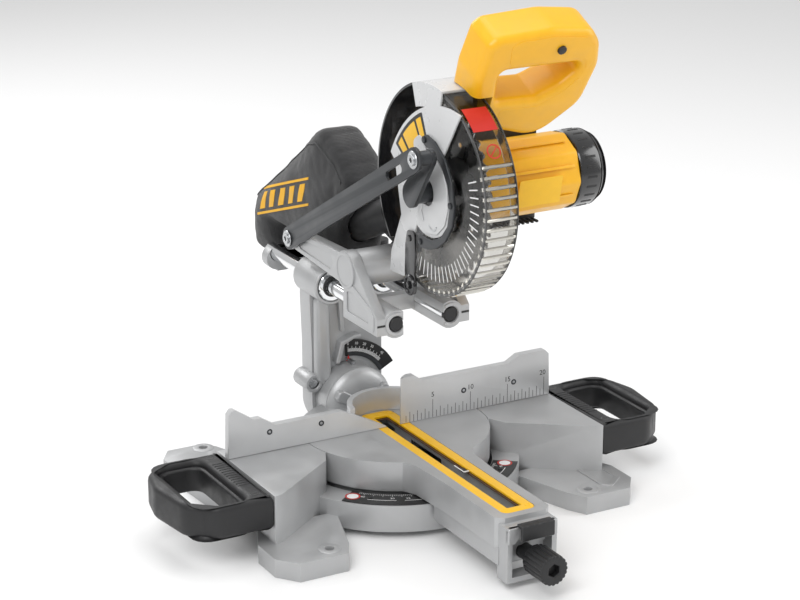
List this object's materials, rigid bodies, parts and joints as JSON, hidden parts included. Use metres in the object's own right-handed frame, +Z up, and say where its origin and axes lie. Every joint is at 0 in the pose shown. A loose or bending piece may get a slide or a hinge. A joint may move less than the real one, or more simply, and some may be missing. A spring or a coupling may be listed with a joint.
{
  "type": "sliding miter saw",
  "caption": "Sliding compound miter saw: swivelling table, tilting column, slide rails, looped handle, retracting clear guard, motor and dust bag.",
  "frame": {"origin": "on the bench under the middle of the saw", "axes": "+Z up, -Y towards the operator, +X to the operator right"},
  "size_m": [0.618, 0.65, 0.5788],
  "materials": {
    "grey_casting": "sand-cast aluminium, light silver paint, machined on the table faces",
    "guard_paint": "smooth light grey paint, satin",
    "gloss_black": "glossy black moulding",
    "black_plastic": "fine-textured black nylon",
    "yellow_plastic": "satin yellow glass-filled nylon",
    "scale_black": "black scale strip with white marks",
    "chrome": "hard chromed and ground bar",
    "bright_steel": "zinc-plated steel",
    "dark_steel": "dark grey coated steel",
    "blade_steel": "ground saw-blade steel",
    "smoked_guard": "clear smoke-tinted polycarbonate",
    "bag_fabric": "black woven polyester"
  },
  "bodies": {
    "base": {"base_casting": "grey_casting", "fence": "grey_casting", "left_side_handle": "black_plastic", "right_side_handle": "black_plastic", "miter_scale": "scale_black", "turntable_pivot_bolt": "bright_steel"},
    "left_fence": {"left_fence": "grey_casting"},
    "turntable": {"turntable": "grey_casting", "kerf_plate": "yellow_plastic", "miter_pointer": "bright_steel", "bevel_pivot_bolt": "bright_steel", "bevel_pointer": "bright_steel"},
    "miter_lock_knob": {"miter_lock_knob": "black_plastic"},
    "miter_latch": {"miter_latch": "black_plastic"},
    "bevel_column": {"bevel_column": "grey_casting", "bevel_scale": "scale_black", "left_front_bush": "chrome", "left_rear_bush": "chrome", "right_front_bush": "chrome", "right_rear_bush": "chrome", "bevel_stop_screw": "bright_steel"},
    "bevel_clamp_lever": {"bevel_clamp_lever": "black_plastic"},
    "rail_lock_knob": {"rail_lock_knob": "black_plastic"},
    "carriage": {"carriage": "grey_casting", "left_rail": "chrome", "right_rail": "chrome", "left_rail_plug": "black_plastic", "right_rail_plug": "black_plastic", "rear_rail_bracket": "grey_casting", "head_pivot_pin": "bright_steel", "link_rear_bolt": "bright_steel"},
    "lock_down_pin": {"lock_down_pin": "black_plastic"},
    "head": {"head_arm": "grey_casting", "upper_guard": "guard_paint", "guard_shroud": "gloss_black", "guard_inner_cover": "bright_steel", "guard_retainer": "dark_steel", "guard_bracket": "black_plastic", "gear_case": "yellow_plastic", "motor_housing": "yellow_plastic", "motor_end_cap": "black_plastic", "handle_front_half": "yellow_plastic", "handle_rear_half": "yellow_plastic", "battery_dock": "black_plastic", "dust_port": "black_plastic", "dust_bag": "bag_fabric", "head_return_spring": "dark_steel"},
    "trigger": {"trigger": "black_plastic"},
    "lock_off_button": {"lock_off_button": "black_plastic"},
    "blade": {"saw_blade": "blade_steel", "spindle": "bright_steel", "blade_flange": "dark_steel", "blade_bolt": "dark_steel"},
    "motor_shaft": {"motor_shaft": "bright_steel"},
    "lower_guard": {"lower_guard": "smoked_guard"},
    "guard_lever": {"guard_lever": "dark_steel"},
    "guard_link": {"guard_link": "dark_steel", "link_front_bolt": "bright_steel"}
  },
  "joints": [
    {"name": "left_fence_slide", "type": "slide", "parent": "base", "child": "left_fence", "axis": [-1, 0, 0], "range_m": [0, 0.062]},
    {"name": "turntable_swivel", "type": "hinge", "parent": "base", "child": "turntable", "pos_m": [0, 0.013, 0.076], "axis": [0, 0, -1], "range_deg": [-48, 48]},
    {"name": "miter_lock_turn", "type": "hinge", "parent": "turntable", "child": "miter_lock_knob", "pos_m": [0, -0.3, 0.034], "axis": [0, 1, 0], "range_deg": [-120, 0]},
    {"name": "miter_latch_squeeze", "type": "hinge", "parent": "turntable", "child": "miter_latch", "pos_m": [0, -0.283, 0.073], "axis": [1, 0, 0], "range_deg": [0, 15], "stiffness_Nm_per_rad": 0.5, "springref_deg": -11.46},
    {"name": "bevel_tilt", "type": "hinge", "parent": "turntable", "child": "bevel_column", "pos_m": [0, 0.128, 0.076], "axis": [0, -1, 0], "range_deg": [0, 48]},
    {"name": "bevel_lever_turn", "type": "hinge", "parent": "bevel_column", "child": "bevel_clamp_lever", "pos_m": [0, 0.168, 0.076], "axis": [0, 1, 0], "range_deg": [0, 60]},
    {"name": "rail_lock_turn", "type": "hinge", "parent": "bevel_column", "child": "rail_lock_knob", "pos_m": [0.044, 0.131, 0.25], "axis": [0, 0, 1], "range_deg": [0, 120]},
    {"name": "rail_slide", "type": "slide", "parent": "bevel_column", "child": "carriage", "axis": [0, -1, 0], "range_m": [-0.07, 0.084]},
    {"name": "lock_pin_push", "type": "slide", "parent": "carriage", "child": "lock_down_pin", "axis": [1, 0, 0], "range_m": [-0.008, 0]},
    {"name": "head_chop", "type": "hinge", "parent": "carriage", "child": "head", "pos_m": [0, 0.019, 0.269], "axis": [1, 0, 0], "range_deg": [0, 84], "stiffness_Nm_per_rad": 8, "springref_deg": -74.48},
    {"name": "blade_spin", "type": "hinge", "parent": "head", "child": "blade", "pos_m": [0, -0.102, 0.384], "axis": [1, 0, 0], "continuous": true},
    {"name": "motor_spin", "type": "hinge", "parent": "head", "child": "motor_shaft", "pos_m": [0, -0.073, 0.377], "axis": [1, 0, 0], "continuous": true},
    {"name": "guard_swing", "type": "hinge", "parent": "head", "child": "lower_guard", "pos_m": [0, -0.102, 0.384], "axis": [1, 0, 0], "range_deg": [-168, 0]},
    {"name": "guard_lever_turn", "type": "hinge", "parent": "head", "child": "guard_lever", "pos_m": [0, -0.102, 0.384], "axis": [1, 0, 0], "range_deg": [-46, 0]},
    {"name": "guard_link_turn", "type": "hinge", "parent": "carriage", "child": "guard_link", "pos_m": [0, 0.15, 0.271], "axis": [1, 0, 0], "range_deg": [0, 46]},
    {"name": "trigger_pull", "type": "slide", "parent": "head", "child": "trigger", "axis": [0, -0.4493, 0.8934], "range_m": [0, 0.0035], "stiffness_N_per_m": 400, "springref_m": -0.002},
    {"name": "lock_off_push", "type": "slide", "parent": "head", "child": "lock_off_button", "axis": [0, 0.8934, 0.4493], "range_m": [0, 0.003], "stiffness_N_per_m": 400, "springref_m": -0.002}
  ],
  "couplings": [
    {"joint": "motor_spin", "follows": "blade_spin", "ratio": -2.2759},
    {"joint": "guard_swing", "follows": "head_chop", "ratio": -2},
    {"joint": "guard_lever_turn", "follows": "head_chop", "ratio": -0.545},
    {"joint": "guard_link_turn", "follows": "head_chop", "ratio": 0.545}
  ]
}
